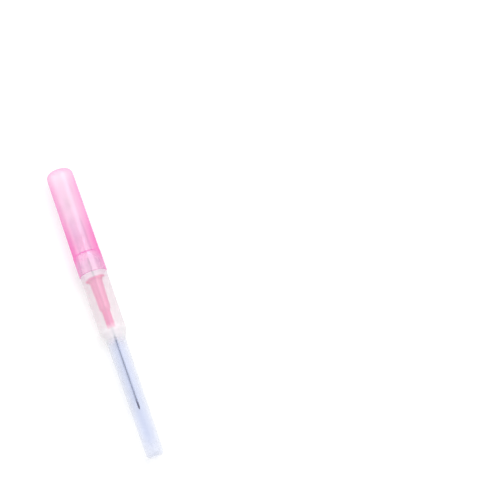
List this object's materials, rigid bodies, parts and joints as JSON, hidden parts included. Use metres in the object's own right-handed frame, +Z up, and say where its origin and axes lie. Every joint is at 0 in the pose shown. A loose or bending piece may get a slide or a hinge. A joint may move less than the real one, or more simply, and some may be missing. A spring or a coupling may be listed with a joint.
{
  "type": "iv cannula",
  "caption": "Intravenous catheter over a hollow needle with luer-lock hub, flash chamber and vent plug, closed in a slip-fit case.",
  "frame": {"origin": "on the floor below the middle of the closed case, which lies on its side", "axes": "+Z up, +Y along the case towards the cap; the case axis is in the YZ plane and climbs 0.76 degrees towards the cap, because the case rests on the front of its main barrel and on the rim of its cap's mouth"},
  "size_m": [0.011, 0.1194, 0.0113],
  "materials": {
    "frosted_sheath": "frosted translucent polypropylene",
    "pink_cap": "translucent tinted polypropylene",
    "catheter_tubing": "translucent fluoropolymer tubing",
    "stainless_steel": "drawn and ground",
    "pink_hub": "tinted moulded polypropylene",
    "clear_hub": "clear moulded polycarbonate",
    "frosted_plug": "frosted moulded polypropylene",
    "porous_filter": "sintered porous polyethylene",
    "cured_adhesive": "clear cured adhesive"
  },
  "bodies": {
    "sheath": {"protective_sheath": "frosted_sheath"},
    "catheter": {"catheter_hub": "pink_hub", "catheter_tube": "catheter_tubing", "catheter_ferrule": "stainless_steel"},
    "needle_set": {"needle": "stainless_steel", "needle_bond": "cured_adhesive", "needle_hub": "clear_hub"},
    "plug": {"vent_plug": "frosted_plug", "vent_filter": "porous_filter"},
    "cap": {"end_cap": "pink_cap"}
  },
  "joints": [
    {"name": "cannula_draw", "type": "slide", "parent": "sheath", "child": "catheter", "axis": [0, 0.9999, 0.0133], "range_m": [0, 0.07]},
    {"name": "needle_draw", "type": "slide", "parent": "catheter", "child": "needle_set", "axis": [0, 0.9999, 0.0133], "range_m": [0, 0.058]},
    {"name": "plug_pull", "type": "slide", "parent": "needle_set", "child": "plug", "axis": [0, 0.9999, 0.0133], "range_m": [0, 0.008]},
    {"name": "cap_pull", "type": "slide", "parent": "plug", "child": "cap", "axis": [0, 0.9999, 0.0133], "range_m": [0, 0.042]}
  ]
}
